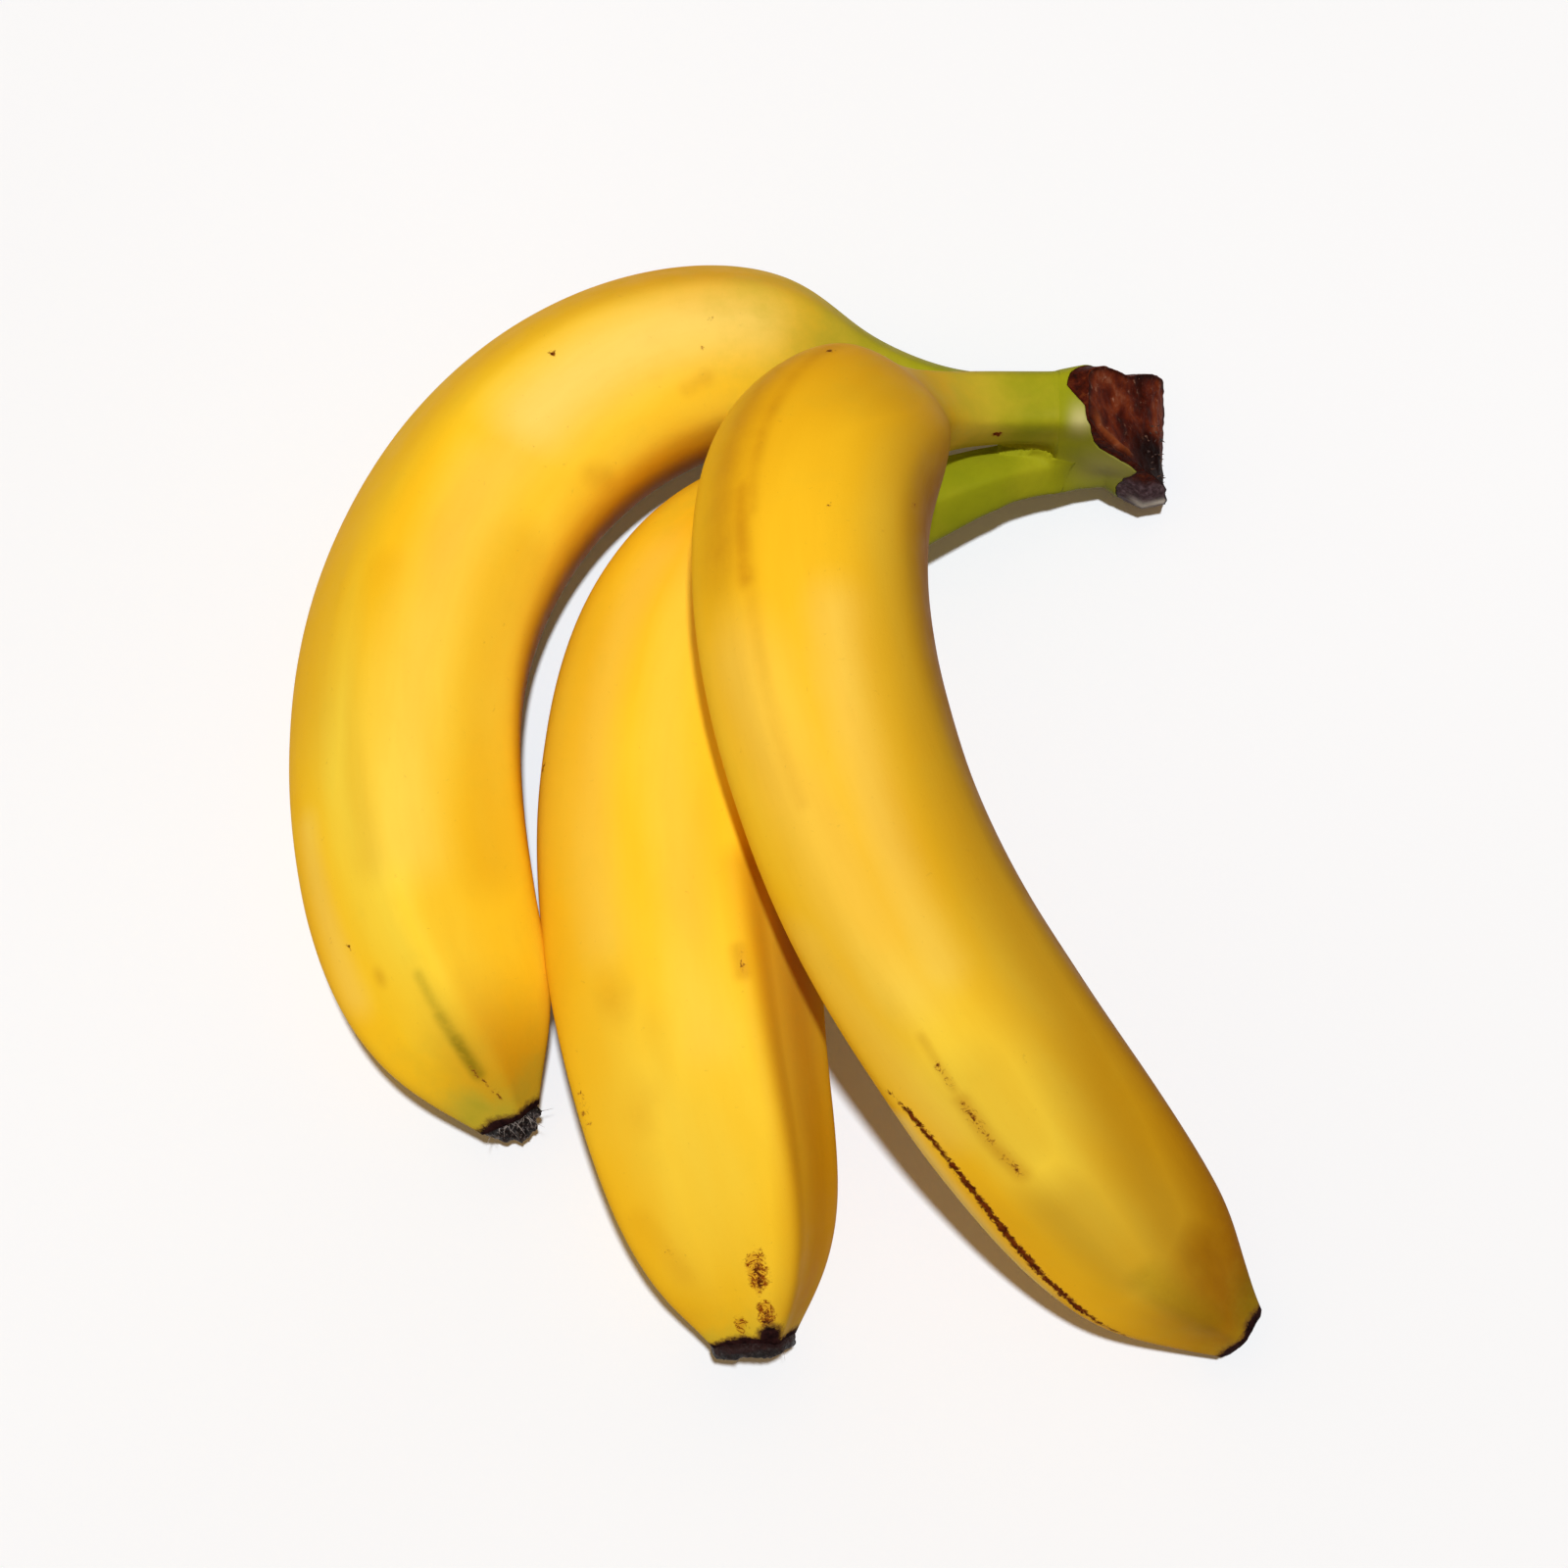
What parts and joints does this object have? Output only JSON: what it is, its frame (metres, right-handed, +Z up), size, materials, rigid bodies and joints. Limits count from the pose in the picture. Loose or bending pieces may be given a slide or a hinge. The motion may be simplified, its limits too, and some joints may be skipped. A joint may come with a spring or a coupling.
{
  "type": "bunch of bananas",
  "caption": "Cut bunch of curved ripe yellow bananas joined at one short brown crown, lying on a flat surface, with one banana resting across another.",
  "frame": {"origin": "middle of the bunch's footprint, on the surface it lies on", "axes": "+X towards the cut crown and the tip of the top banana, +Y from the tips towards the stalks, +Z up"},
  "size_m": [0.1448, 0.169, 0.0704],
  "materials": {
    "peel": "satin ripe peel, greener at the stalk",
    "crown": "green skin with a dried brown fibrous cut",
    "dried_flower": "dull, black-brown and crusty"
  },
  "bodies": {
    "root": {"crown": "crown", "banana_left": "peel", "banana_middle": "peel", "banana_right": "peel", "blossom_end_left": "dried_flower", "blossom_end_middle": "dried_flower", "blossom_end_right": "dried_flower"}
  },
  "joints": []
}
